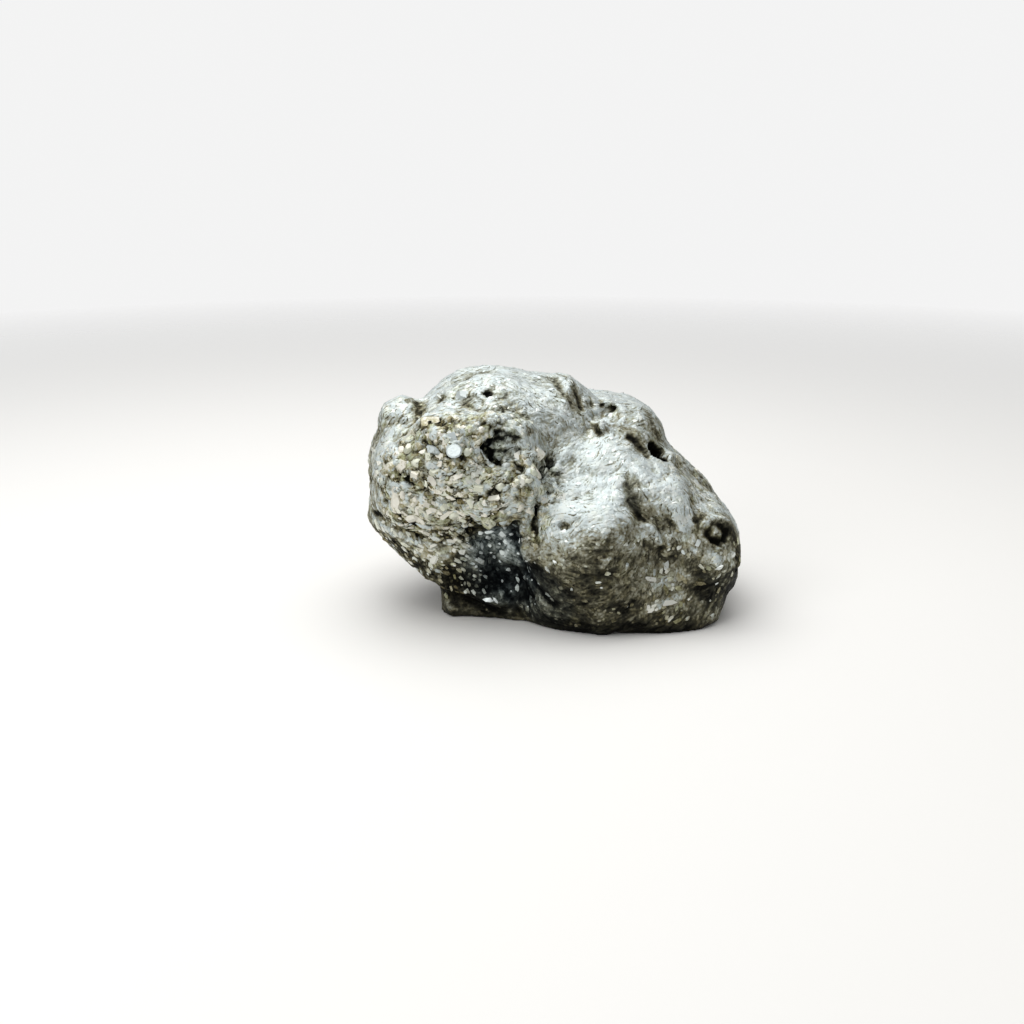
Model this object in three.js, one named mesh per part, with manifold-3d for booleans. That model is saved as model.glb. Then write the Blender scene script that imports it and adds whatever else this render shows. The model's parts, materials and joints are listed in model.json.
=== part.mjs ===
// A pyrite cluster: one lump of grown-together fool's gold, about 113 mm long, with a coarse crystal
// face on its left, a smoother boulder on its right and a deep cleft between them.
// Millimetres, +Z up, X along the lump, -Y its crystal face. The origin is under the middle of its box.
import * as THREE from "three";
import { ConvexGeometry } from "three/addons/geometries/ConvexGeometry.js";
import { ImprovedNoise } from "three/addons/math/ImprovedNoise.js";
import { MeshSurfaceSampler } from "three/addons/math/MeshSurfaceSampler.js";
import { mergeVertices } from "three/addons/utils/BufferGeometryUtils.js";
import Module from "manifold-3d";

const wasm = await Module();
wasm.setup();

// Driving dimensions
const reach = 95; // nothing of the lump lies further than this from its heart
const heart = new THREE.Vector3(4, 0, 28); // rays from here find the skin
const proportions = new THREE.Vector3(56, 40, 36); // spreads the skin's points evenly over a long lump
const skinDetail = 13; // subdivisions of the icosahedron that becomes the skin
const relaxRounds = 14; // times that the skin's points are spread and put back on the skin

// Lobes that the lump is made of: centre, half sizes, how square (2 is round), turns about X, Y and Z in
// degrees, and how softly it flows into those before it.
const lobes = [
  { name: "crown", at: [-18, 8, 44], half: [24, 27, 26], square: 2.5, turn: [0, 0, 0], soft: 0 },
  { name: "crest", at: [0, 11, 49.3], half: [13, 22, 18], square: 2.6, turn: [0, 0, 0], soft: 3 },
  { name: "cheek", at: [-34.5, -4, 41], half: [19.5, 24, 15], square: 3, turn: [0, 4, 8], soft: 3 },
  { name: "face", at: [-22, -8, 45], half: [19, 21.5, 15.5], square: 4.6, turn: [-3, 4, -6], soft: 2.5 },
  { name: "knob", at: [-44, -2, 56], half: [8.5, 8, 7.5], square: 2.4, turn: [0, 0, 0], soft: 1.5 },
  { name: "keel", at: [-27, 1, 23], half: [30, 22, 18], square: 2.8, turn: [4, 38, 0], soft: 3 },
  { name: "beak", at: [-46, -4, 25], half: [11.5, 15, 3], square: 2.4, turn: [0, 24, 0], soft: 1.5 },
  { name: "boulder", at: [11, -8, 30], half: [22, 31, 18], square: 2.8, turn: [38, -8, 0], soft: 3 },
  { name: "bridge", at: [9, -2, 44], half: [17, 17, 10.5], square: 2.6, turn: [42, 0, 0], soft: 6 },
  { name: "crest end", at: [4.4, 7.5, 62.6], half: [5.8, 8, 5.6], square: 2.4, turn: [0, 20, 0], soft: 2 },
  { name: "block", at: [17, 13, 46], half: [17, 18, 14.5], square: 3, turn: [0, 2, 0], soft: 4 },
  { name: "shoulder", at: [34, 2, 28], half: [26, 22, 14], square: 2.6, turn: [8, 43, 0], soft: 3 },
  { name: "haunch", at: [41, -10, 19], half: [13.8, 19, 17], square: 2.3, turn: [0, 0, 0], soft: 3 },
  { name: "knuckle", at: [31.5, -13.5, 33], half: [8.5, 10.5, 9], square: 2.2, turn: [0, 20, 0], soft: 5 },
  { name: "sole", at: [18, -6, 8], half: [29, 27, 14], square: 2.8, turn: [0, 0, 0], soft: 4 },
  { name: "heel", at: [39, -10.5, 3.5], half: [11.2, 19, 7.5], square: 2.4, turn: [0, 0, 0], soft: 3 },
  { name: "toe", at: [-11, -1, 6], half: [18, 20, 13], square: 3.6, turn: [0, 0, 0], soft: 2 },
  { name: "back", at: [4, 18, 27], half: [42, 17, 27], square: 2.2, turn: [0, 5, 0], soft: 7 },
  { name: "rear knuckle", at: [-25, 25, 42], half: [13, 11, 14], square: 3.2, turn: [20, 10, 30], soft: 3 },
  { name: "rear ledge", at: [12, 26, 14], half: [24, 10, 11], square: 3, turn: [8, 10, 5], soft: 4 },
  { name: "rear block", at: [9, 24, 42], half: [13, 12, 13], square: 3.6, turn: [12, 20, -12], soft: 2 },
  { name: "rear boss", at: [38, 13, 22], half: [12, 13, 11], square: 3, turn: [0, 20, 20], soft: 3 },
];

// Grooves and hollows: round channels along a line of points.
const channels = [
  {
    name: "cleft", radius: 2.4, soft: 2,
    line: [[-5, -27, 44], [-9, -31, 35], [-10, -31, 26], [-5, -36, 12], [6, -38, 1]],
  },
  { name: "recess", radius: 5, soft: 2, line: [[-20, -28, 16], [-10, -30, 17], [-4, -36, 13]] },
  {
    name: "valley", radius: 3.2, soft: 2,
    line: [[21.8, -20.4, 45.8], [22.4, -24.2, 42.6], [23.6, -27.6, 38.8], [26.4, -28.6, 34.8],
      [30, -27.8, 31], [31.8, -28.8, 25]],
  },
  {
    name: "rear groove", radius: 2.5, soft: 2.5,
    line: [[-9, 30, 60], [-8, 34, 42], [-14, 34, 22], [-9, 34, 4]],
  },
  { name: "rear cleft", radius: 2, soft: 2, line: [[-6, 36, 29], [10, 35, 27], [26, 32, 31], [34, 25, 38]] },
  { name: "cavity", radius: 5, soft: 2, line: [[-19, -29, 52], [-13, -27, 54]] },
  {
    name: "saddle", radius: 2.2, soft: 2.5,
    line: [[10.2, -3.5, 60], [11.8, 3, 62.4], [12.2, 13, 63], [11, 25, 59]],
  },
  {
    name: "foot groove", radius: 2.8, soft: 1.2,
    line: [[-33, -15, 5.5], [-25.7, -18.7, 4], [-20.7, -21, 2.2], [-15, -22.5, 0.5]],
  },
  { name: "knob groove", radius: 2.2, soft: 2, line: [[-36, 12, 66], [-38.6, -2, 65], [-39, -15, 60.5]] },
];

// Broken faces of single lobes: nothing of the lobe lies beyond the plane.
const flats = [
  { lobe: "boulder", normal: [0.52, -0.84, 0.1], at: 39.5, soft: 2 },
];

// The underside of the left end: nothing lies beyond this plane.
const undercut = { normal: [-0.6, 0, -0.8], at: 14.6, soft: 1 };

// The foot stands out from below the undercut.
const foot = {
  name: "foot", at: [-28, -12, 0.5], half: [9.2, 6.5, 5], square: 2.2, turn: [0, 20, 20], soft: 2,
};

// Swellings all over the lump: how far apart and how high.
const swellings = [
  { size: 13, height: 1.5, shift: 3.1 },
  { size: 5.5, height: 0.8, shift: 7.7 },
];

// Round holes in the skin: middle, half sizes, turns about X, Y and Z in degrees.
const pits = [
  { name: "eye", at: [30.4, -5, 46.6], half: [4.4, 3.8, 6], turn: [20, 25, 0] },
  { name: "socket", at: [45.4, -24.6, 28.4], half: [4.3, 3.8, 4], turn: [30, 20, 0] },
  { name: "slit", at: [-5.8, -26, 33.4], half: [1.1, 3.2, 3.8], turn: [-20, 0, -10] },
  { name: "cleft head", at: [-9.3, -25.6, 42], half: [1.2, 5, 6.5], turn: [0, 0, -15] },
  { name: "pocket", at: [-0.4, -18.6, 47.8], half: [2.8, 4, 4.2], turn: [0, 0, 0] },
  { name: "hollow", at: [-15.4, -24.3, 53.6], half: [6.8, 3.8, 5.8], turn: [0, 0, 0] },
  { name: "scoop", at: [14.8, -0.8, 59.2], half: [6, 5.8, 4.2], turn: [0, 8, 0] },
  { name: "top dimple", at: [-19.3, -10.4, 65.8], half: [1.5, 1.3, 1.6], turn: [0, 0, 0] },
  { name: "brow dimple", at: [-28.6, -10.6, 62], half: [1.8, 1.1, 1.6], turn: [0, 0, 20] },
  { name: "cheek dimple", at: [2.2, -29.6, 32.3], half: [1.7, 1.4, 1.6], turn: [0, 0, 0] },
  { name: "rear hole", at: [24, 30, 33], half: [4, 6, 3.2], turn: [10, 0, 20] },
  { name: "rear dimple", at: [-38, 22, 36], half: [2.6, 3.4, 2.4], turn: [30, 0, 40] },
];

// Round bosses on the skin or in a pit.
const bosses = [
  { name: "wart", at: [14.1, -5.8, 54.8], half: [2.5, 2.3, 2.4], turn: [10, 20, 30] },
  { name: "pupil", at: [45.2, -23.4, 28], half: [2.7, 2.4, 2.1], turn: [10, 0, 10] },
  { name: "plate", at: [-28.4, -27.6, 53.2], half: [2.1, 1.6, 2.1], turn: [0, 0, 0] },
];

const blobUnevenness = 0.4; // how far pits and bosses depart from round

// Crystals stand out of the skin in patches: round which point, how far around, how many, how large across
// and how far they stand proud, the last two as the least and the most.
const patches = [
  { name: "face", at: [-32, -27, 44], reach: 23, count: 66, across: [2.6, 4.4], proud: [0.5, 1.1] },
  { name: "brow", at: [-24, -20, 58], reach: 12, count: 14, across: [2.4, 3.8], proud: [0.5, 1] },
  { name: "rib", at: [-5, -23, 46], reach: 9, count: 12, across: [2.4, 4], proud: [0.7, 1.4] },
  { name: "lumps", at: [44, -20, 28], reach: 17, count: 12, across: [2.2, 3.8], proud: [0.4, 0.9] },
  { name: "back", at: [-20, 34, 40], reach: 24, count: 16, across: [3.4, 6.5], proud: [0.7, 1.6] },
  { name: "rear block", at: [14, 36, 44], reach: 14, count: 7, across: [3.4, 6], proud: [0.7, 1.5] },
];
const tilt = THREE.MathUtils.degToRad(28); // most that a crystal leans off the skin
const spacing = 0.8; // least distance between crystals, as a share of their size
const seed = 11;

const noise = new ImprovedNoise();

for (const lobe of [...lobes, foot]) {
  const turn = new THREE.Euler(...lobe.turn.map(THREE.MathUtils.degToRad));
  lobe.flats = flats.filter((flat) => flat.lobe === lobe.name);
  lobe.toLocal = new THREE.Matrix4().makeRotationFromEuler(turn).setPosition(...lobe.at).invert();
}

const local = new THREE.Vector3();

function lobeDistance(point, lobe) {
  local.copy(point).applyMatrix4(lobe.toLocal);
  const share =
    Math.abs(local.x / lobe.half[0]) ** lobe.square +
    Math.abs(local.y / lobe.half[1]) ** lobe.square +
    Math.abs(local.z / lobe.half[2]) ** lobe.square;
  const scaled = share ** (1 / lobe.square);
  let distance = scaled > 1e-6 ? local.length() * (1 - 1 / scaled) : -Math.min(...lobe.half);
  for (const flat of lobe.flats) distance = softCut(distance, -beyond(point, flat), flat.soft);
  return distance;
}

// How far a point lies beyond a plane.
function beyond(point, { normal: [x, y, z], at }) {
  return x * point.x + y * point.y + z * point.z - at;
}

for (const channel of channels) {
  const corners = channel.line.map((corner) => new THREE.Vector3(...corner));
  channel.stretches = corners.slice(1).map((corner, i) => new THREE.Line3(corners[i], corner));
}

const closest = new THREE.Vector3();

function channelDistance(point, channel) {
  let nearest = Infinity;
  for (const stretch of channel.stretches) {
    stretch.closestPointToPoint(point, true, closest);
    nearest = Math.min(nearest, closest.distanceTo(point));
  }
  return nearest - channel.radius;
}

function softUnion(a, b, soft) {
  const share = Math.max(soft - Math.abs(a - b), 0);
  return Math.min(a, b) - (soft > 0 ? (share * share) / (4 * soft) : 0);
}

function softCut(a, b, soft) {
  return -softUnion(-a, b, soft);
}

// Signed distance to the lump's skin, less than zero inside.
function lump(point) {
  let distance = Infinity;
  for (const lobe of lobes) distance = softUnion(distance, lobeDistance(point, lobe), lobe.soft);
  for (const channel of channels) {
    distance = softCut(distance, channelDistance(point, channel), channel.soft);
  }
  distance = softCut(distance, -beyond(point, undercut), undercut.soft);
  distance = softUnion(distance, lobeDistance(point, foot), foot.soft);
  for (const { size, height, shift } of swellings) {
    distance += height * noise.noise(point.x / size + shift, point.y / size + shift, point.z / size - shift);
  }
  return distance;
}

// The point where a ray from the heart leaves the lump.
function outermost(direction) {
  const ray = new THREE.Ray(heart, direction);
  const point = new THREE.Vector3();
  const step = 0.8;
  let far = reach;
  while (far > step && lump(ray.at(far, point)) > 0) far -= step;
  return ray.at(far + step / 2, new THREE.Vector3());
}

// Moves a point along the slope of the distance until it lies on the skin.
function settle(point) {
  const slope = new THREE.Vector3();
  const probe = new THREE.Vector3();
  const reachOut = 0.05;
  for (let i = 0; i < 3; i++) {
    const distance = lump(point);
    for (const axis of ["x", "y", "z"]) {
      probe.copy(point)[axis] += reachOut;
      slope[axis] = (lump(probe) - distance) / reachOut;
    }
    const move = THREE.MathUtils.clamp(distance / Math.max(slope.lengthSq(), 0.2), -2, 2);
    point.addScaledVector(slope, -move);
  }
  return point;
}

function neighboursOf(index, count) {
  const neighbours = Array.from({ length: count }, () => new Set());
  for (let i = 0; i < index.count; i += 3) {
    const corners = [0, 1, 2].map((k) => index.getX(i + k));
    for (const a of corners) for (const b of corners) if (a !== b) neighbours[a].add(b);
  }
  return neighbours.map((set) => [...set]);
}

function skin() {
  const sphere = new THREE.IcosahedronGeometry(1, skinDetail);
  const bare = new THREE.BufferGeometry().setAttribute("position", sphere.getAttribute("position"));
  const geometry = mergeVertices(bare, 1e-4);
  const position = geometry.getAttribute("position");
  let points = Array.from({ length: position.count }, (_, i) => {
    const direction = new THREE.Vector3().fromBufferAttribute(position, i).multiply(proportions).normalize();
    return settle(outermost(direction));
  });
  const neighbours = neighboursOf(geometry.index, position.count);
  for (let round = 0; round < relaxRounds; round++) {
    points = points.map((point, i) => {
      const middle = new THREE.Vector3();
      for (const j of neighbours[i]) middle.add(points[j]);
      middle.divideScalar(neighbours[i].length);
      return settle(middle.lerp(point, 0.4));
    });
  }
  points.forEach((point, i) => position.setXYZ(i, point.x, point.y, point.z));
  return geometry;
}

// Solids in and out of manifold-3d
function toSolid(geometry) {
  const bare = new THREE.BufferGeometry().setAttribute("position", geometry.getAttribute("position"));
  if (geometry.index) bare.setIndex(geometry.index);
  const merged = mergeVertices(bare, 1e-4);
  return new wasm.Manifold(
    new wasm.Mesh({
      numProp: 3,
      vertProperties: new Float32Array(merged.getAttribute("position").array),
      triVerts: new Uint32Array(merged.index.array),
    }),
  );
}

function toGeometry(solid) {
  const mesh = solid.getMesh();
  const geometry = new THREE.BufferGeometry();
  geometry.setAttribute("position", new THREE.BufferAttribute(mesh.vertProperties, 3));
  geometry.setIndex(new THREE.BufferAttribute(mesh.triVerts, 1));
  geometry.computeVertexNormals();
  return geometry;
}

function ground() {
  const block = new THREE.BoxGeometry(4 * reach, 4 * reach, reach);
  block.translate(0, 0, -reach / 2);
  return toSolid(block);
}

function blob({ at, half, turn }) {
  const ball = new THREE.IcosahedronGeometry(1, 1);
  const points = ball.getAttribute("position");
  const point = new THREE.Vector3();
  for (let i = 0; i < points.count; i++) {
    point.fromBufferAttribute(points, i);
    const wave = noise.noise(1.9 * point.x + at[0], 1.9 * point.y + at[1], 1.9 * point.z);
    const swell = 1 + blobUnevenness * wave;
    points.setXYZ(i, ...point.multiplyScalar(swell));
  }
  const rotation = new THREE.Euler(...turn.map(THREE.MathUtils.degToRad));
  ball.scale(...half).applyMatrix4(new THREE.Matrix4().makeRotationFromEuler(rotation));
  return toSolid(ball.translate(...at));
}

// Twelve five-sided faces, the second common habit of the mineral.
function pyritohedron(across) {
  const size = across / 2;
  const points = [];
  for (const x of [-1, 1]) {
    for (const y of [-1, 1]) {
      for (const z of [-0.75, 0.75]) points.push(new THREE.Vector3(x, y, z / 0.75).multiplyScalar(0.75));
      points.push(new THREE.Vector3(0, 1.125 * x, 0.5625 * y));
      points.push(new THREE.Vector3(0.5625 * y, 0, 1.125 * x));
      points.push(new THREE.Vector3(1.125 * x, 0.5625 * y, 0));
    }
  }
  return new ConvexGeometry(points.map((point) => point.multiplyScalar(size)));
}

const random = () => THREE.MathUtils.seededRandom();
const between = ([least, most]) => THREE.MathUtils.lerp(least, most, random());

function crystalForm(across) {
  const habit = random();
  if (habit < 0.2) return pyritohedron(across);
  if (habit < 0.32) return new THREE.OctahedronGeometry(across * 0.7);
  return new THREE.BoxGeometry(across, across * between([0.75, 1.1]), across);
}

// One crystal with a face near level with the skin, and its highest corner as proud as its patch says.
function crystal(point, normal, patch) {
  const form = crystalForm(between(patch.across));
  const lean = new THREE.Euler(between([-tilt, tilt]), between([-tilt, tilt]), between([0, Math.PI]));
  const upright = new THREE.Quaternion().setFromUnitVectors(new THREE.Vector3(0, 0, 1), normal);
  form.applyQuaternion(upright.multiply(new THREE.Quaternion().setFromEuler(lean)));
  const corners = form.getAttribute("position");
  const corner = new THREE.Vector3();
  let height = 0;
  for (let i = 0; i < corners.count; i++) {
    height = Math.max(height, corner.fromBufferAttribute(corners, i).dot(normal));
  }
  const middle = point.clone().addScaledVector(normal, between(patch.proud) - height);
  return toSolid(form.translate(...middle));
}

function crystals(body) {
  const sampler = new MeshSurfaceSampler(new THREE.Mesh(toGeometry(body).toNonIndexed()));
  sampler.setRandomGenerator(random).build();
  const grown = [];
  for (const patch of patches) {
    const middle = new THREE.Vector3(...patch.at);
    const places = [];
    const least = spacing * (patch.across[0] + patch.across[1]) / 2;
    for (let i = 0; i < 12000 && places.length < patch.count; i++) {
      const point = new THREE.Vector3();
      const normal = new THREE.Vector3();
      sampler.sample(point, normal);
      if (point.distanceTo(middle) > patch.reach || point.z < 6) continue;
      if (places.some((place) => place.distanceTo(point) < least)) continue;
      places.push(point);
      grown.push(crystal(point, normal, patch));
    }
  }
  return grown;
}

THREE.MathUtils.seededRandom(seed);
const bare = toSolid(skin());
const pitted = pits.reduce((body, pit) => body.subtract(blob(pit)), bare);
const bossed = bosses.reduce((body, boss) => body.add(blob(boss)), pitted);
const grown = crystals(bossed).reduce((body, form) => body.add(form), bossed);
const solid = grown.subtract(ground());

const pyrite = new THREE.MeshStandardMaterial({ color: 0xa7a68c, roughness: 0.42, metalness: 1 });
const geometry = toGeometry(solid);
geometry.computeBoundingBox();
const centre = geometry.boundingBox.getCenter(new THREE.Vector3());
geometry.translate(-centre.x, -centre.y, 0);
const mesh = new THREE.Mesh(geometry, pyrite);
mesh.name = "pyrite_cluster";

const cluster = new THREE.Group();
cluster.add(mesh);

export default cluster;
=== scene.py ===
import json
import math

import bmesh
import bpy
import numpy as np
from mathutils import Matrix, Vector, bvhtree, noise

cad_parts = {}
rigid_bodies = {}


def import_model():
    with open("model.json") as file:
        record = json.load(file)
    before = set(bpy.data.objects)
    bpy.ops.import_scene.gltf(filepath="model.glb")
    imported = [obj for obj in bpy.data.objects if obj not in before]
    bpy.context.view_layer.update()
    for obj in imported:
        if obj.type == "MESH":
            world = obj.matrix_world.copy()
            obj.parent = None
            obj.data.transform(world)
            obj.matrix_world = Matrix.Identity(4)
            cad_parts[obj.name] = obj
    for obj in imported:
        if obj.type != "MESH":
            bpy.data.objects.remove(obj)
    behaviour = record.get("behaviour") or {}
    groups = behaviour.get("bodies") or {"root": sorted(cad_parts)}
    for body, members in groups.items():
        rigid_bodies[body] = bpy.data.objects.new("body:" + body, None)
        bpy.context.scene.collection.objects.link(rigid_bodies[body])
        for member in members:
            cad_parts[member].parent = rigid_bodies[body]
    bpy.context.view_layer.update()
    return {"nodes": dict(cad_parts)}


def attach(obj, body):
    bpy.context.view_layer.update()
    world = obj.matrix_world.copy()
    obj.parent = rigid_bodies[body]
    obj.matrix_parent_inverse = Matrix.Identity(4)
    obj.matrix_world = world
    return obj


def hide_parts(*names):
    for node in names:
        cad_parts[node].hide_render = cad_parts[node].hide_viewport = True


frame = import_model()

# A lump of grown-together pyrite: its skin, the crystals and flakes that stand on it, its tarnish, and the
# light and shade painted into its colour
mm = 0.001  # the scene is in metres, the sizes and places in the settings are millimetres


def linear(hexColour):  # sRGB hex to the linear values that shaders take
    parts = [int(hexColour[i:i + 2], 16) / 255 for i in (0, 2, 4)]
    return tuple(p / 12.92 if p <= 0.04045 else ((p + 0.055) / 1.055) ** 2.4 for p in parts) + (1.0,)


def addNode(tree, kind, inputs=None, **settings):
    # an input, given by number or name, takes a value, a socket or another node's first output
    node = tree.nodes.new(kind)
    for key, value in settings.items():
        setattr(node, key, value)
    for key, value in (inputs or {}).items():
        named = [s for s in node.inputs if s.name == key and s.enabled]
        socket = node.inputs[key] if isinstance(key, int) else named[0]
        if isinstance(value, bpy.types.Node):
            value = [s for s in value.outputs if s.enabled][0]
        if isinstance(value, bpy.types.NodeSocket):
            tree.links.new(value, socket)
        else:
            socket.default_value = value
    return node


def mathNode(tree, operation, *values):
    return addNode(tree, "ShaderNodeMath", dict(enumerate(values)), operation=operation)


def vectorNode(tree, operation, *values):
    return addNode(tree, "ShaderNodeVectorMath", dict(enumerate(values)), operation=operation)


def scaleNode(tree, vector, share):
    return addNode(tree, "ShaderNodeVectorMath", {0: vector, "Scale": share}, operation="SCALE")


def mapNode(tree, value, start=0.0, stop=1.0, least=0.0, most=1.0):  # start to stop becomes least to most
    return addNode(tree, "ShaderNodeMapRange", {
        "Value": value, "From Min": start, "From Max": stop, "To Min": least, "To Max": most})


def addObject(name, mesh):
    piece = bpy.data.objects.new(name, mesh)
    bpy.context.scene.collection.objects.link(piece)
    return piece


def settle(piece):  # turns what the modifiers make into the piece's own mesh
    bpy.context.view_layer.update()
    graph = bpy.context.evaluated_depsgraph_get()
    mesh = bpy.data.meshes.new_from_object(piece.evaluated_get(graph), depsgraph=graph)
    piece.modifiers.clear()
    old = piece.data
    piece.data = mesh
    bpy.data.meshes.remove(old)
    mesh.name = piece.name
    return piece


def setInputs(modifier, values):  # a modifier's inputs are set by identifier, found here by name
    names = {item.name: item.identifier for item in modifier.node_group.interface.items_tree
             if item.item_type == "SOCKET" and item.in_out == "INPUT"}
    for name, value in values.items():
        modifier[names[name]] = value


def newTree(name, inputs):  # a geometry tree with its inputs named
    tree = bpy.data.node_groups.new(name, "GeometryNodeTree")
    tree.interface.new_socket("Geometry", in_out="INPUT", socket_type="NodeSocketGeometry")
    for label, kind in inputs.items():
        tree.interface.new_socket(label, in_out="INPUT", socket_type="NodeSocket" + kind)
    tree.interface.new_socket("Geometry", in_out="OUTPUT", socket_type="NodeSocketGeometry")
    return tree, tree.nodes.new("NodeGroupInput").outputs


def vectorsOf(items, key):
    values = np.empty(len(items) * 3, np.float32)
    items.foreach_get(key, values)
    return values.reshape(-1, 3)


def pointsOf(mesh):
    return vectorsOf(mesh.vertices, "co")


def normalsOf(mesh):
    return vectorsOf(mesh.vertex_normals, "vector")


def movePoints(mesh, places):
    mesh.vertices.foreach_set("co", np.ascontiguousarray(places, np.float32).ravel())
    mesh.update()


def storeOnPoints(mesh, name, values):
    vectors = values.ndim == 2
    layer = mesh.attributes.new(name, "FLOAT_VECTOR" if vectors else "FLOAT", "POINT")
    flat = np.ascontiguousarray(values, np.float32).ravel()
    layer.data.foreach_set("vector" if vectors else "value", flat)


# The stone: one skin over the whole solid
stone = {
    "node": "pyrite_cluster",
    "weld": 0.002,
    "crispAngle": 30,  # degrees; an edge bent further than this stays an edge
    "voxel": 0.66,
    "relief": {
        "Swell Size": 9.0, "Swell Height": 1.4, "Lump Size": 3.8, "Lump Height": 0.75,
        "Cobble Size": 2.6, "Cobble Height": 0.9,  # rounded grains where the crystals are coarse
        "Streak Height": 0.03, "Grain Size": 1.5,
    },
    "streakSize": 0.9, "streakReach": 3, "streakStride": 0.7,  # a rib's width, and its steps each way
    "grainTilt": 0.13,  # how far a grain leans, as a slope
    "levelFoot": 1.5,  # the lowest stretch, which stays level
    "seed": 3,
}

# Cracks and creases: how deep, how wide, along which points
cracks = {
    "cleft": (1.4, 1.2, [(-10.5, -24, 52), (-10.5, -27.5, 47.5), (-9.7, -27.5, 41), (-9.4, -26.5, 36),
                         (-11, -27, 32), (-12.5, -23, 27)]),
    "cleft foot": (1.5, 1.2, [(-12, -20, 25.5), (-11, -21.5, 21), (-8.7, -23, 16), (-5, -28, 12.5),
                              (-1, -31.5, 9)]),
    "slit": (3.0, 1.0, [(-6, -25, 38), (-6.1, -27.3, 34.5), (-6.3, -27.4, 31), (-5.6, -29, 28)]),
    "face crease": (1.3, 1.1, [(-44, -28, 47), (-40, -29.5, 44), (-36, -30, 41), (-32, -30.5, 39),
                               (-23, -31, 39.5), (-15, -31, 42.5), (-12, -29, 46.5)]),
    "left notch": (1.5, 1.2, [(-53, -16, 31), (-48, -21, 31), (-44.5, -22, 29), (-39.5, -22, 26)]),
    "foot groove": (1.6, 1.3, [(-34, -15.5, 8), (-28, -19.3, 6.6), (-22, -21.4, 4.4), (-16.5, -22.4, 2.6)]),
    "valley": (0.7, 2.2, [(20.4, -22.5, 43.5), (20.8, -25.4, 40.4), (22, -27.6, 37), (24.3, -28.5, 34)]),
    "valley crack": (0.7, 0.9, [(24.3, -28.5, 34), (28, -27, 31), (30, -27, 27.5), (30.3, -27.6, 24.5)]),
    "valley branch": (0.6, 1.0, [(23, -22.5, 42), (26.5, -21.5, 41), (30, -19, 42), (32.5, -16.5, 43)]),
    "swirl a": (0.35, 0.9, [(33, -22, 37), (32.6, -26, 32), (34.6, -27.6, 28)]),
    "swirl b": (0.4, 0.9, [(38.6, -20, 36), (37.6, -24.6, 33), (38.4, -27.4, 28.6)]),
    "eye crease": (1.0, 1.1, [(22, -8.5, 52), (25.5, -10.4, 49.4), (27, -11.5, 47)]),
    "flank crease a": (0.9, 1.0, [(-0.3, 3, 68), (2, -5, 65.5), (6, -7, 61)]),
    "flank crease b": (1.0, 1.0, [(3.5, 7, 68), (6.3, -1, 63.5), (8.5, -4, 60)]),
    "scoop rib a": (1.1, 0.9, [(10.6, 2.5, 61), (10.4, 1.5, 56)]),
    "scoop rib b": (1.1, 0.9, [(14.4, 4, 61), (14.4, 3.5, 56)]),
    "scoop rib c": (1.1, 0.9, [(18.4, 3, 61), (18.4, 2, 56)]),
    "wart ring": (0.8, 0.7, [(11.6, -6.6, 57), (11.6, -8.2, 54.8), (13.2, -9.8, 53)]),
}

# Soft hollows, and ridges where the depth is below zero
hollows = {
    "recess": (1.6, 4.5, [(-24.5, -24, 29), (-20, -22, 24), (-16, -21, 16), (-10, -23, 9.5)]),
    "rib": (-2.0, 2.4, [(-8, -27.5, 46), (-7.5, -28, 39), (-8.5, -26, 29.5), (-8, -28, 22.5)]),
    "boulder edge": (-0.9, 1.8, [(3, -15, 49.5), (0, -18.5, 44.5), (-3.2, -23, 41), (-5.4, -25.5, 38)]),
    "keel ridge": (-1.0, 1.5, [(-38, -18.5, 14.5), (-32, -18.8, 10.6), (-25, -21.5, 8.2), (-17, -23, 5.6)]),
    "knob groove": (1.3, 1.8, [(-39, -3.5, 62.5), (-39.6, -9, 60), (-41, -18, 57.5), (-45.5, -18, 54.5)]),
    "socket ring": (-1.5, 1.5, [(40.6, -25.6, 29), (42.6, -25.4, 32.2), (46.2, -24, 32.4),
                                (48.6, -22.6, 29.6), (47.6, -23.4, 26), (44, -25.6, 25), (41.2, -26, 26.6)]),
    "scoop floor": (-2.6, 3.0, [(11.5, 0, 57.5), (17.5, 0.5, 57)]),
    "cavity floor": (-2.8, 4.5, [(-18.6, -20.5, 53.6), (-14.6, -20, 53.4)]),
    "lump fill": (-1.0, 2.6, [(33.6, -24.5, 34), (34.4, -26.6, 29)]),
    "valley fill": (-2.0, 2.6, [(26.5, -28, 30), (28.7, -27.4, 27.2), (30.4, -27.2, 24.6)]),
    "eye tail": (-2.4, 2.2, [(33.4, -4.4, 44.6)]),
    "crown step": (2.0, 4.5, [(-29, 2, 68.3), (-22, 5, 70)]),
    "boulder dimple": (0.9, 0.6, [(14.6, -27, 40.3)]),
    "crown pit": (0.8, 0.6, [(-19.6, -10.6, 65.6)]),
    "brow pit": (1.2, 1.3, [(-33.4, -7.2, 63)]),
}

# Where crystals grow coarse: middle, how far around, share
coarsePatches = {
    "face": ((-32, -30, 44), 25, 1.0),
    "brow": ((-22, -24, 58), 12, 0.7),
    "rib": ((-6, -26, 44), 11, 1.0),
    "rib foot": ((-8, -28, 32), 8, 0.9),
    "left end": ((-53, -4, 40), 16, 0.6),
    "crown": ((-22, -13, 63), 13, 0.35),
    "crown foot": ((-13, -20, 60), 9, 0.7),
    "knob": ((-44, -9, 58), 9, 0.35),
    "under": ((-36, -22, 27), 15, 0.3),
    "lumps": ((40, -26, 30), 13, 0.15),
    "right slope": ((42, -9, 40), 13, 0.35),
    "right back": ((44, 8, 40), 13, 0.5),
    "back": ((-18, 32, 40), 28, 0.9),
    "rear block": ((14, 34, 44), 17, 0.8),
}

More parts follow.
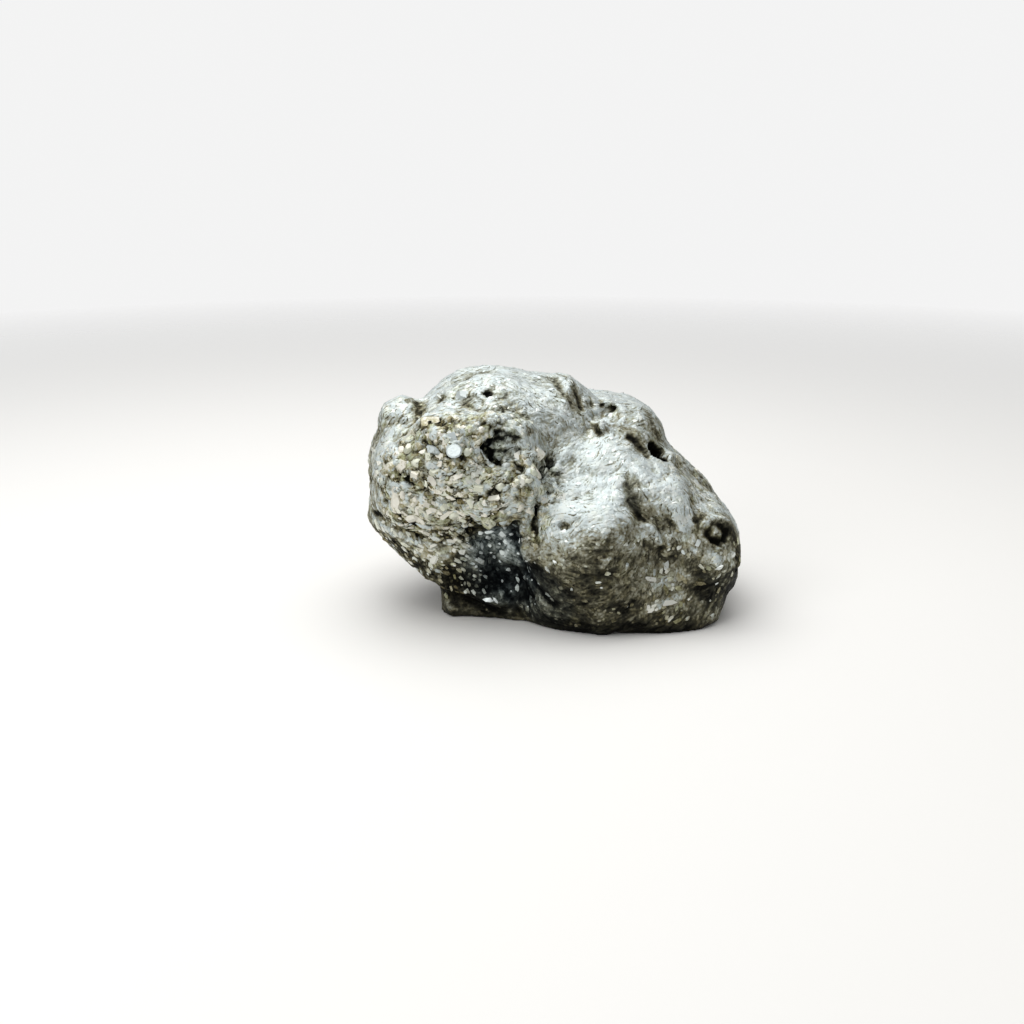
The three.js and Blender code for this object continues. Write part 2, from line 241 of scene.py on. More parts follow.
# Where flakes lie along the grain: middle, how far around, share
flakePatches = {
    "under": ((-38, -21, 26), 18, 1.0),
    "keel": ((-30, -20, 16), 12, 0.7),
    "face foot": ((-28, -29, 36), 13, 0.8),
    "right end": ((46, -27, 20), 11, 0.4),
    "belly": ((31, -32, 11), 9, 0.9),
    "rear hollow": ((24, 28, 33), 12, 0.6),
}

# Where flakes with a painted highlight stand bright in the dark: middle, how far around, share
glintPatches = {
    "recess": ((-17, -22, 19), 16, 1.0),
    "cleft foot": ((-8, -26, 12), 10, 0.7),
    "under": ((-36, -21, 22), 14, 0.4),
    "belly": ((14, -36, 16), 22, 0.1),
    "right end": ((42, -28, 16), 16, 0.3),
    "rear hollow": ((24, 28, 33), 12, 0.5),
}

# Where the colour turns blue, as painted shade in the hollows and a painted sky reflection on the open tops:
# middle, how far around, how much
bluePatches = {
    "recess": ((-15, -21, 17), 16, 0.8),
    "cavity": ((-15, -20, 54), 9, 0.7),
    "pocket": ((2, -17, 47), 8, 0.4),
    "cleft": ((-10, -26, 43), 8, 0.15),
    "boulder edge": ((-1.5, -21.5, 43.5), 6, 0.6),
    "cleft foot": ((-4, -29, 10), 13, 0.6),
    "boulder": ((12, -22, 44), 18, 0.5),
    "crown": ((-14, -2, 68), 24, 0.5),
    "lumps": ((36, -22, 36), 10, 0.1),
    "right end": ((47, -25, 14), 12, 0.4),
    "rear hollow": ((24, 28, 33), 14, 0.6),
}

# Where no crystals stand: middle, how far around
barePatches = {"socket": ((43.6, -24, 29.5), 8), "eye": ((30, -6, 47), 6), "wart": ((13.8, -7.5, 55), 4),
               "cavity": ((-15.2, -20, 54.5), 7)}

# Where the painted light on the skin is brighter, or the painted shade deeper below zero, than its share of
# the sky says, partly also the stone's own tone: middle, how far around, how much
paintedShadingPatches = {
    "crown": ((-16, 0, 68), 24, -0.18),
    "boulder": ((9, -27, 37), 17, 0.08),
    "boulder low": ((16, -35, 22), 11, -0.1),
    "face": ((-31, -30, 46), 27, 0.3),
    "face foot": ((-28, -29, 38), 13, 0.3),
    "under": ((-38, -22, 29), 17, 0.26),
    "left end": ((-50, -18, 42), 14, 0.22),
    "recess": ((-18, -20, 23), 11, 0.5),
    "under low": ((-24, -21.5, 14), 12, -0.34),
    "rib": ((-6, -27, 38), 12, 1.3),
    "rib top": ((-7.5, -26.5, 49.5), 8, 1.0),
    "block": ((25, -2, 55), 14, -0.34),
    "right slope": ((43, -10, 40), 17, -0.2),
    "belly": ((6, -36, 14), 24, -0.2),
    "belly rim": ((10, -39, 24), 10, -0.18),
    "belly right": ((32, -32, 9), 18, -0.26),
    "right end": ((46, -22, 16), 14, -0.3),
    "scoop": ((14.5, 1, 58.5), 8, 0.45),
    "socket": ((44.6, -24, 28.5), 8.5, -0.38),
    "cavity": ((-15, -20, 54.5), 8, 0.1),
    "toe": ((-24, -20, 2), 15, -0.22),
    "right back": ((46, 12, 34), 16, -0.24),
    "right foot": ((50, 4, 12), 16, -0.2),
    "back foot": ((-10, 34, 10), 24, -0.16),
}

# Bands and spots brighter or duller than the skin beside them, some the stone's own streaks of tone, some
# painted highlights on lumps and edges and painted shade in cracks and hollows: how much, how wide, along
# which points
veins = {
    "belly vein a": (0.34, 1.2, [(21.4, -33.9, 5.6), (25, -34.1, 7.8), (31.6, -32.3, 10.4),
                                 (35.9, -31.2, 11.5)]),
    "belly vein b": (0.24, 1.1, [(27.7, -32.3, 14.3), (31.6, -29.6, 16.9), (35.1, -29, 18.2)]),
    "belly fleck": (0.4, 1.2, [(12.6, -37, 22.6), (14.4, -36.8, 24.6)]),
    "boulder brown": (-0.16, 3.6, [(11, -36, 27.5), (16, -34, 31), (20.2, -31, 33), (21.6, -28.4, 36)]),
    "block edge": (-0.3, 1.4, [(27.6, 3, 57), (29.2, -1.2, 54.5), (30.4, -2, 52)]),
    "boulder right": (-0.12, 4.2, [(19.5, -32, 31), (23, -30, 29.6), (25.2, -29.8, 23)]),
    "pale lump a": (0.45, 1.4, [(23.8, -30, 28.6), (24.8, -29.3, 29.2)]),
    "pale lump b": (0.5, 1.4, [(17.3, -34.1, 28.8)]),
    "pale lump c": (0.3, 1.6, [(21.5, -31.8, 25.6)]),
    "pale lump d": (0.6, 2.0, [(34.7, -21, 40.6), (35.8, -23.9, 36.7), (36.6, -26, 32.9)]),
    "pale lump e": (0.3, 1.6, [(38.8, -27.1, 29.8), (40, -27.6, 26.5)]),
    "pale lump f": (0.4, 2.0, [(43.9, -28.8, 22.6), (46, -28, 20)]),
    "valley": (-0.42, 2.7, [(20.2, -23.5, 41.6), (21.2, -26, 38.2), (22.4, -27.6, 35.4)]),
    "valley right": (-0.12, 3.2, [(24.5, -22, 42), (27, -24, 38), (29, -25.5, 34)]),
    "valley crack": (-0.3, 1.0, [(22.8, -27.8, 34.7), (25.7, -28.2, 30.7), (28.7, -27.4, 26.9),
                                 (30.5, -27.1, 24.4)]),
    "pale lump g": (0.45, 2.2, [(34, -25, 33.5), (34.6, -27, 29)]),
    "lump swirl a": (-0.36, 0.9, [(32.6, -21, 39.4), (32.4, -25.4, 34), (34, -27.4, 29)]),
    "lump swirl b": (-0.4, 1.0, [(38.6, -20, 37.4), (38.4, -24.6, 33.4), (40.4, -26.6, 29)]),
    "socket ring": (-0.4, 1.8, [(41, -24.6, 32.4), (40.6, -26, 29), (42, -26.2, 26), (45.4, -26, 25)]),
    "right end": (-0.5, 3.4, [(50, -22, 30), (52, -23, 21), (51.4, -18, 6)]),
    "right end fleck": (0.45, 1.4, [(50.2, -26.2, 23), (50.4, -26.4, 19.6)]),
    "crest flank": (-0.36, 4.2, [(-1, 2, 67.5), (3, -5, 64.5), (7.5, -5.5, 60.5)]),
    "crest end": (-0.3, 3.4, [(3.5, 6, 68), (7, 0, 64), (9.6, -1, 60)]),
    "brow crystal": (-1.25, 2.8, [(-36, -23.6, 60), (-34, -23.2, 60)]),
    "crown crystal": (-0.5, 2.6, [(-24.6, -14, 62.6)]),
    "eye notch": (-0.35, 2.4, [(22.5, -9, 51), (26, -10.6, 48.8)]),
    "wart": (-0.25, 2.0, [(13.6, -8, 55)]),
    "scoop stroke a": (-0.4, 0.9, [(10.6, 2.5, 61), (10.6, -1, 56)]),
    "scoop stroke b": (-0.4, 0.9, [(14.2, 3, 61), (14.2, -1, 56)]),
    "scoop stroke c": (-0.4, 0.9, [(17.8, 2, 61), (17.8, -1, 56)]),
    "keel": (-0.4, 2.0, [(-48, -18.5, 24.6), (-44, -19, 20), (-40.4, -19.2, 16.6), (-35.6, -19.2, 13.8),
                         (-31, -19.5, 10)]),
    "keel edge": (0.3, 0.7, [(-49, -14, 24), (-42, -15.4, 15.4), (-36, -17, 10)]),
    "left stroke a": (-0.4, 1.3, [(-47.7, -22.8, 49.8), (-44, -28.4, 44.1)]),
    "left stroke b": (-0.3, 1.0, [(-50.5, -19, 44), (-48.5, -22.5, 37)]),
    "left bright": (0.4, 2.0, [(-43.4, -28.7, 43), (-40, -29.4, 40.6)]),
    "face band": (-0.22, 2.6, [(-36.9, -29.5, 35.8), (-33.2, -28.2, 33.6), (-29.3, -27.2, 31.9)]),
    "cleft": (-1.0, 1.0, [(-10, -25.5, 45.5), (-9.7, -27.3, 41), (-9.4, -26.6, 36.5)]),
    "slit": (-1.0, 0.8, [(-6, -26, 36), (-6.2, -27.4, 33), (-6.2, -27.6, 30)]),
    "cavity": (-0.4, 4.6, [(-18, -21, 53.6), (-13.4, -21, 54.6)]),
    "face gap a": (-0.4, 2.2, [(-36, -29, 53), (-33, -29.4, 52)]),
    "face gap b": (-0.3, 1.6, [(-24, -27, 50), (-20, -27.6, 48)]),
    "crystal row": (0.3, 2.0, [(-24, -27.8, 54.2), (-22.6, -28.4, 50)]),
    "cavity right": (0.3, 2.0, [(-11.4, -22.8, 55.9), (-7.4, -22.4, 54.4)]),
    "rib": (0.3, 3.0, [(-7, -27, 48), (-6.5, -28, 40), (-8, -28, 31)]),
    "knob patch": (-0.3, 2.0, [(-41.1, -4.5, 62.1)]),
}

# The grain of the skin runs along these lines
strokes = {
    "crown left": [(-47.8, -9, 60.4), (-36.9, 2.1, 62.6), (-27.7, -2.8, 68), (-16, 3.8, 69.8)],
    "crown right": [(-16, 3.8, 69.8), (-4, 5, 68), (2, 3, 67.6)],
    "crest flank": [(-4, 1, 68), (1.4, -8.4, 62.5), (5.8, -8.3, 58.8)],
    "crest end": [(4, 6, 68), (7, -2, 63.4), (10, -1, 59)],
    "left end": [(-51.4, -15.5, 50.1), (-49.5, -23.6, 46.3), (-49.8, -23.4, 37.5), (-50.7, -17.8, 29.8)],
    "face": [(-44, -29, 46), (-30, -31, 42), (-14, -31, 41)],
    "under": [(-50.7, -17.8, 29.8), (-44.6, -21.2, 26), (-36, -22, 20), (-27, -22, 12), (-18, -22, 5)],
    "recess": [(-40, -24, 30), (-27.4, -23.3, 23), (-16, -22.5, 13), (-4.4, -28.6, 5.5)],
    "boulder edge": [(-3.2, -25, 37.9), (1.2, -18.9, 45.1), (5.6, -15.7, 48.7), (13, -9.4, 54.6)],
    "boulder": [(1, -27, 36), (12, -29, 37.5), (20, -24, 42), (24.7, -11.1, 49)],
    "boulder foot": [(-4.7, -32.5, 22.7), (0.8, -36, 19.6), (17.4, -35.5, 19.4), (28, -29, 23)],
    "block": [(19, -10, 52), (26, -4, 55), (32, 4, 50)],
    "valley": [(28, -12, 47.5), (22, -23, 42.5), (22, -27.6, 37), (28, -27.4, 31), (30.5, -28, 24)],
    "lumps": [(36, -17, 38.6), (33.5, -24, 34.5), (34, -28, 27), (38, -29, 19)],
    "belly": [(23.7, -33.6, 5.1), (29.2, -33.1, 11), (37.8, -29.3, 17), (45, -28, 23)],
    "right end": [(44.4, -27.7, 5.8), (49, -25, 10.9), (50.4, -26.6, 20.6), (49.4, -25.8, 26.3),
                  (46.8, -13.9, 34.7)],
}


def nearestOn(places, line):  # how far each point is from a line, and which way the line runs there
    corners = [np.array(corner) * mm for corner in line]
    nearest = np.linalg.norm(places - corners[0], axis=1)
    way = np.zeros_like(places)
    for start, stop in zip(corners, corners[1:]):
        along = stop - start
        share = np.clip((places - start) @ along / (along @ along), 0, 1)
        away = np.linalg.norm(places - start - share[:, None] * along, axis=1)
        nearer = away <= nearest
        nearest[nearer] = away[nearer]
        way[nearer] = along / np.linalg.norm(along)
    return nearest, way


def waver(places, size):
    return np.array([noise.noise(Vector(p)) for p in places / (size * mm)])


carving = {"crackEdge": 1.3, "hollowEdge": 2.0, "waver": 0.35, "waverSize": 1.8}  # 2 cuts a flatter floor


def carve(mesh):
    places, normals = pointsOf(mesh), normalsOf(mesh)
    wobble = waver(places, carving["waverSize"])
    depth = np.zeros(len(places))
    for marks, edge in ((cracks, carving["crackEdge"]), (hollows, carving["hollowEdge"])):
        for deep, wide, line in marks.values():
            away = nearestOn(places, line)[0] / (wide * mm) + carving["waver"] * wobble
            depth += deep * mm * np.exp(-np.maximum(away, 0) ** edge)
    movePoints(mesh, places - normals * depth[:, None])


def smoothSkin():
    edit = bmesh.new()
    edit.from_mesh(frame["nodes"][stone["node"]].data)
    bmesh.ops.remove_doubles(edit, verts=edit.verts, dist=stone["weld"] * mm)
    crease = edit.edges.layers.float.new("crease_edge")
    limit = math.radians(stone["crispAngle"])
    for edge in edit.edges:
        if len(edge.link_faces) == 2 and edge.calc_face_angle() > limit:
            edge[crease] = 1.0
    mesh = bpy.data.meshes.new("pyrite_stone")
    edit.to_mesh(mesh)
    edit.free()
    piece = addObject("pyrite_stone", mesh)
    rounding = piece.modifiers.new("rounding", "SUBSURF")
    rounding.levels = rounding.render_levels = 2
    settle(piece)
    carve(piece.data)
    skin = piece.modifiers.new("skin", "REMESH")
    skin.mode = "VOXEL"
    skin.voxel_size = stone["voxel"] * mm
    skin.adaptivity = 0
    return settle(piece)


rims = {"growth": 0.35, "shine": 0.5, "bare": 0.3}  # how much of a patch is its soft rim


def patchShare(places, middle, reach, rim):  # 1 in the middle of a patch, falling to 0 at its reach
    away = np.linalg.norm(places - np.array(middle) * mm, axis=1) / (reach * mm)
    share = np.clip((1 - away) / rims[rim], 0, 1)
    return share * share * (3 - 2 * share)


def sharesOf(patches, places):
    share = np.zeros(len(places))
    for middle, reach, most in patches.values():
        share = np.maximum(share, most * patchShare(places, middle, reach, "growth"))
    return share


grainLie = {
    "front": (0.12, -0.95, 0.28),  # away from the strokes, the grain runs in bands around this line of sight
    "band": 0.12, "draw": 7,  # how much the bands count, and from how far a stroke draws the grain to it
    "turns": ((1.0, 7), (1.3, 2.4)),  # how far chance turns the grain, in radians, and over what length
}


def flowAlong(places, normals):
    front = np.array(grainLie["front"])
    flow = np.cross(normals, front / np.linalg.norm(front))
    flow /= np.maximum(np.linalg.norm(flow, axis=1), 1e-6)[:, None]
    whole = grainLie["band"] * flow
    for line in strokes.values():
        away, way = nearestOn(places, line)
        way *= np.where(np.sum(way * flow, axis=1) < 0, -1, 1)[:, None]
        whole += way * np.exp(-(away / (grainLie["draw"] * mm)) ** 2)[:, None]
    whole -= normals * np.sum(whole * normals, axis=1)[:, None]
    whole /= np.maximum(np.linalg.norm(whole, axis=1), 1e-6)[:, None]
    turn = sum(most * waver(places, size) for most, size in grainLie["turns"])[:, None]
    return whole * np.cos(turn) + np.cross(normals, whole) * np.sin(turn)


def hollowness(mesh, places, normals, rounds):  # how many mm a point lies below the mean of those around it
    ends = np.empty(len(mesh.edges) * 2, np.int32)
    mesh.edges.foreach_get("vertices", ends)
    a, b = ends.reshape(-1, 2).T
    count = 1 + np.bincount(a, minlength=len(places)) + np.bincount(b, minlength=len(places))

    def spread(axis):
        return (axis + np.bincount(a, axis[b], len(axis)) + np.bincount(b, axis[a], len(axis))) / count

    mean = places.astype(float)
    for i in range(rounds):
        mean = np.stack([spread(axis) for axis in mean.T], axis=1)
    return np.sum((mean - places) * normals, axis=1) / mm


def streaks(places, flow):  # a fine noise drawn out along the flow
    size, reach = stone["streakSize"] * mm, stone["streakReach"]
    moves = [step * stone["streakStride"] * size * flow for step in range(-reach, reach + 1)]
    value = sum(waver(places + move, stone["streakSize"]) for move in moves)
    return np.clip(value / value.std(), -2.5, 2.5)


skyRays = {"count": 30, "reach": 80, "lift": 0.4, "grazing": 0.03}


def skyShares(mesh, places, normals):
    # how much of the sky overhead each point sees: 1 level and open, 0.5 upright, 0 underneath or deep in a
    # hollow, and how much of what it faces is hidden by the stone itself
    faces = [tuple(face.vertices) for face in mesh.polygons]
    tree = bvhtree.BVHTree.FromPolygons([Vector(p) for p in places], faces)
    golden = math.pi * (3 - math.sqrt(5))
    seen, faced = np.zeros(len(places)), np.full(len(places), 1e-6)
    total = 0
    for i in range(skyRays["count"]):
        height = (i + 0.5) / skyRays["count"]
        around = golden * i
        flat = math.sqrt(1 - height * height)
        ray = Vector((flat * math.cos(around), flat * math.sin(around), height))
        total += height
        facing = normals @ np.array(ray)
        faced += np.maximum(facing, 0)
        for j in np.nonzero(facing > skyRays["grazing"])[0]:
            start = Vector(places[j] + normals[j] * skyRays["lift"] * mm)
            if tree.ray_cast(start, ray, skyRays["reach"] * mm)[0] is None:
                seen[j] += facing[j]
    return seen / total, 1 - seen / faced


# Painted light and shade in the skin's colour: lit by its share of the sky, darkened as painted shade in
# hollows, creases and towards the foot
shadePainting = {
    "perSky": 1.25, "loss": 0.03, "cap": 1.15,  # painted light from the sky's share, and the most before the veins
    "fine": (3, 1.1, -0.2, 0.3),  # painted shade in hollows: rounds of spreading, loss per mm of depth, least and most loss
    "broad": (16, 0.45, -0.15, 0.25),
    # painted shade near the foot and in the cracks and hollows
    "foot": 0.22, "footHeight": 9, "crease": 0.3, "creaseWidth": 1.3, "most": 1.1,
    "hiddenBlue": 0.9, "blueFrom": 0.3,  # blue painted shade comes where the stone hides more than a third of the view
}


def creaseShare(places):  # 1 in the middle of a crack or hollow
    share = np.zeros(len(places))
    for marks in (cracks, hollows):
        for deep, wide, line in marks.values():
            away = nearestOn(places, line)[0] / (shadePainting["creaseWidth"] * wide * mm)
            share = np.maximum(share, min(1, max(0, deep)) * np.exp(-away ** 2))
    return share


def paintedShadingShare(mesh, places, normals, sky):  # 0 black in painted shade, 1 bright in painted light
    share = shadePainting["perSky"] * sky - shadePainting["loss"]
    for middle, reach, more in paintedShadingPatches.values():
        share += more * patchShare(places, middle, reach, "shine")
    share = np.minimum(share, shadePainting["cap"])
    for more, wide, line in veins.values():
        share += more * np.exp(-(nearestOn(places, line)[0] / (wide * mm)) ** 2)
    for rounds, perDepth, least, most in (shadePainting["fine"], shadePainting["broad"]):
        share -= np.clip(perDepth * hollowness(mesh, places, normals, rounds), least, most)
    # painted shade towards the foot and in the creases
    share -= shadePainting["foot"] * np.clip(1 - places[:, 2] / (shadePainting["footHeight"] * mm), 0, 1)
    return np.clip(share - shadePainting["crease"] * creaseShare(places), 0, shadePainting["most"])


def reliefTree():
    labels = [*stone["relief"], "Grain Tilt", "Level Foot", "Seed"]
    tree, given = newTree("stoneRelief", dict.fromkeys(labels, "Float"))
    place = addNode(tree, "GeometryNodeInputPosition")
    coarse = addNode(tree, "GeometryNodeInputNamedAttribute", {"Name": "coarse"})
    streak = addNode(tree, "GeometryNodeInputNamedAttribute", {"Name": "streak"})

    where = {}  # the point's place, counted in sizes of each pattern
    for size in ("Swell Size", "Lump Size", "Cobble Size", "Grain Size"):
        share = mathNode(tree, "DIVIDE", 1.0, given[size])
        where[size] = scaleNode(tree, place, share)

    height = mathNode(tree, "MULTIPLY", streak, given["Streak Height"])
    for size, most in (("Swell Size", "Swell Height"), ("Lump Size", "Lump Height")):
        wave = addNode(tree, "ShaderNodeTexNoise", {
            "Scale": 1.0, "Detail": 1.5, "Vector": where[size], "W": given["Seed"]}, noise_dimensions="4D")
        wave = mathNode(tree, "SUBTRACT", wave, 0.5)
        height = mathNode(tree, "MULTIPLY_ADD", wave, given[most], height)

    # cobbles are domes, each as high as its own chance
    cobble = addNode(tree, "ShaderNodeTexVoronoi", {"Scale": 1.0, "Vector": where["Cobble Size"]})
    chance = addNode(tree, "ShaderNodeSeparateXYZ", {0: cobble.outputs["Color"]})
    square = mathNode(tree, "POWER", cobble.outputs["Distance"], 2.0)
    step = mathNode(tree, "MULTIPLY", chance.outputs[1], 0.7)
    dome = mathNode(tree, "SUBTRACT", step, square)
    proud = mathNode(tree, "MULTIPLY", coarse, given["Cobble Height"])
    height = mathNode(tree, "MULTIPLY_ADD", dome, proud, height)

    # grains are flat, each leaning its own way
    grain = addNode(tree, "ShaderNodeTexVoronoi", {"Scale": 1.0, "Vector": where["Grain Size"]})
    lean = vectorNode(tree, "SUBTRACT", grain.outputs["Color"], (0.5, 0.5, 0.5))
    across = vectorNode(tree, "SUBTRACT", where["Grain Size"], grain.outputs["Position"])
    slope = vectorNode(tree, "DOT_PRODUCT", lean, across)
    proud = mathNode(tree, "MULTIPLY", given["Grain Tilt"], given["Grain Size"])
    height = mathNode(tree, "MULTIPLY_ADD", slope, proud, height)

    level = addNode(tree, "ShaderNodeSeparateXYZ", {0: place}).outputs[2]
    loose = mapNode(tree, level, stop=given["Level Foot"])
    height = mathNode(tree, "MULTIPLY", height, loose)
    normal = addNode(tree, "GeometryNodeInputNormal")
    push = scaleNode(tree, normal, height)
    marked = addNode(tree, "GeometryNodeStoreNamedAttribute", {
        "Geometry": given["Geometry"], "Name": "cell", "Value": chance.outputs[2]}, data_type="FLOAT")
    moved = addNode(tree, "GeometryNodeSetPosition", {"Geometry": marked, "Offset": push})
    addNode(tree, "NodeGroupOutput", {0: moved})
    return tree


growing = {
    "clearOfFoot": 1.2,  # nothing grows below this, counted in level feet
    "fineLoss": 0.85,  # the share of fine crystals whose place the coarse ones take
}


def markSkin(mesh):  # what the crystals and the finishes read from the skin
    places, normals = pointsOf(mesh), normalsOf(mesh)
    sky, hidden = skyShares(mesh, places, normals)
    # painted light and shade, then blue: painted shade in the hollows and a painted sky reflection on the
    # open tops
    storeOnPoints(mesh, "shine", paintedShadingShare(mesh, places, normals, sky))
    blue = shadePainting["hiddenBlue"] * hidden + sharesOf(bluePatches, places) - shadePainting["blueFrom"]
    storeOnPoints(mesh, "blue", np.clip(blue, 0, 1))
    storeOnPoints(mesh, "flow", flowAlong(places, normals))
    free = np.clip(places[:, 2] / mm / stone["levelFoot"] - growing["clearOfFoot"], 0, 1)
    for middle, reach in barePatches.values():
        free *= 1 - patchShare(places, middle, reach, "bare")
    coarse = sharesOf(coarsePatches, places)
    storeOnPoints(mesh, "coarseGrowth", free * coarse)
    storeOnPoints(mesh, "fineGrowth", free * (1 - growing["fineLoss"] * coarse))
    storeOnPoints(mesh, "flakeGrowth", free * sharesOf(flakePatches, places))
    storeOnPoints(mesh, "glintGrowth", free * sharesOf(glintPatches, places))


def makeStone():
    piece = smoothSkin()
    mesh = piece.data
    print("stone skin", len(mesh.polygons), "faces")
    places = pointsOf(mesh)
    storeOnPoints(mesh, "coarse", sharesOf(coarsePatches, places))
    storeOnPoints(mesh, "streak", streaks(places, flowAlong(places, normalsOf(mesh))))
    relief = piece.modifiers.new("relief", "NODES")
    relief.node_group = reliefTree()
    setInputs(relief, {label: length * mm for label, length in stone["relief"].items()})
    setInputs(relief, {"Grain Tilt": stone["grainTilt"], "Level Foot": stone["levelFoot"] * mm,
                       "Seed": float(stone["seed"])})
    mesh = settle(piece).data
    places = pointsOf(mesh)
    places[:, 2] = np.maximum(places[:, 2], 0)  # nothing reaches below the shelf
    movePoints(mesh, places)
    markSkin(mesh)
    # the tarnish marked here is the painted light and shade in the skin's colour
    print("stone relief and tarnish done")
    return piece


# Crystals: forms of the mineral, one unit across, which geometry nodes spread over the skin

def hull(name, points, smooth=False):
    edit = bmesh.new()
    for point in points:
        edit.verts.new(point)
    bmesh.ops.convex_hull(edit, input=edit.verts)
    bmesh.ops.delete(edit, geom=[v for v in edit.verts if not v.link_faces], context="VERTS")
    bmesh.ops.dissolve_limit(edit, angle_limit=0.01, verts=edit.verts, edges=edit.edges)
    bmesh.ops.recalc_face_normals(edit, faces=edit.faces)
    for face in edit.faces:
        face.smooth = smooth
    mesh = bpy.data.meshes.new(name)
    edit.to_mesh(mesh)
    edit.free()
    storeOnPoints(mesh, "rise", pointsOf(mesh)[:, 2] + 0.5)  # 0 at the form's foot, 1 at its top
    return bpy.data.objects.new(name, mesh)


def boxCorners(x, y, z):
    return [(a * x, b * y, c * z) for a in (-1, 1) for b in (-1, 1) for c in (-1, 1)]


def grainCorners(random, count):  # a worn grain: chance points on a ball
    points = random.normal(size=(count, 3))
    return points / np.linalg.norm(points, axis=1)[:, None] * 0.55


def pyritohedronCorners(cube, long, short):  # twelve five-sided faces, the mineral's own habit
    points = boxCorners(cube, cube, cube)
    for a in (-1, 1):
        for b in (-1, 1):
            points += [(0, a * long, b * short), (b * short, 0, a * long), (a * long, b * short, 0)]
    return points


def crystalForms(name, forms):
    group = bpy.data.collections.new(name)
    for i, (points, smooth) in enumerate(forms):
        group.objects.link(hull(f"{name}_{i}", points, smooth))
    return group


def coarseForms():  # worn grains, a cube with cut corners and a pyritohedron
    random = np.random.default_rng(12)
    cut, half = 0.34, 0.47
    cutCube = boxCorners(cut, half, half) + boxCorners(half, cut, half) + boxCorners(half, half, cut)
    grains = [(grainCorners(random, count), True) for count in (26, 26, 26, 26, 26, 14)]
    return crystalForms("coarse", grains + [(cutCube, False), (pyritohedronCorners(0.4, 0.6, 0.3), False)])


def sliverForms(name):  # long thin grains with a point at each end
    random = np.random.default_rng(21)
    corners = np.array(boxCorners(0.24, 0.5, 0.5) + [(-0.55, 0.15, 0.1), (0.55, -0.15, 0.1)])
    return crystalForms(name, [(corners + random.uniform(-0.1, 0.1, corners.shape), False) for i in range(4)])


# Each kind: spacing, least and most across in mm, how many on a square mm, how flat and long for its width,
# how deep it sits, how far it leans and spins off the grain in degrees, and the least of its tones
coarseCrystals = {
    "name": "coarse_crystals", "mask": "coarseGrowth", "maskFrom": 0.12, "spacing": 1.5, "perSquare": 0.24,
    "least": 1.1, "most": 3.4, "flat": 0.75, "long": 1.8, "sink": 0.36, "lean": 15, "spin": 75,
    "toneFrom": 0.0, "seed": 5,
}
fineCrystals = {
    "name": "fine_crystals", "mask": "fineGrowth", "maskFrom": 0.0, "spacing": 0.9, "perSquare": 0.26,
    "least": 0.5, "most": 1.15, "flat": 0.4, "long": 2.6, "sink": 0.14, "lean": 6, "spin": 24,
    "toneFrom": 0.0, "seed": 8,
}
flakeCrystals = {
    "name": "flake_crystals", "mask": "flakeGrowth", "maskFrom": 0.0, "spacing": 1.1, "perSquare": 0.6,
    "least": 0.6, "most": 1.5, "flat": 0.5, "long": 3.4, "sink": 0.14, "lean": 8, "spin": 12,
    "toneFrom": 0.0, "seed": 4,
}
glintCrystals = {
    "name": "glint_crystals", "mask": "glintGrowth", "maskFrom": 0.0, "spacing": 1.6, "perSquare": 0.12,
    "least": 0.45, "most": 1.35, "flat": 0.5, "long": 2.8, "sink": 0.12, "lean": 9, "spin": 16,
    "toneFrom": 0.6, "seed": 6,
}


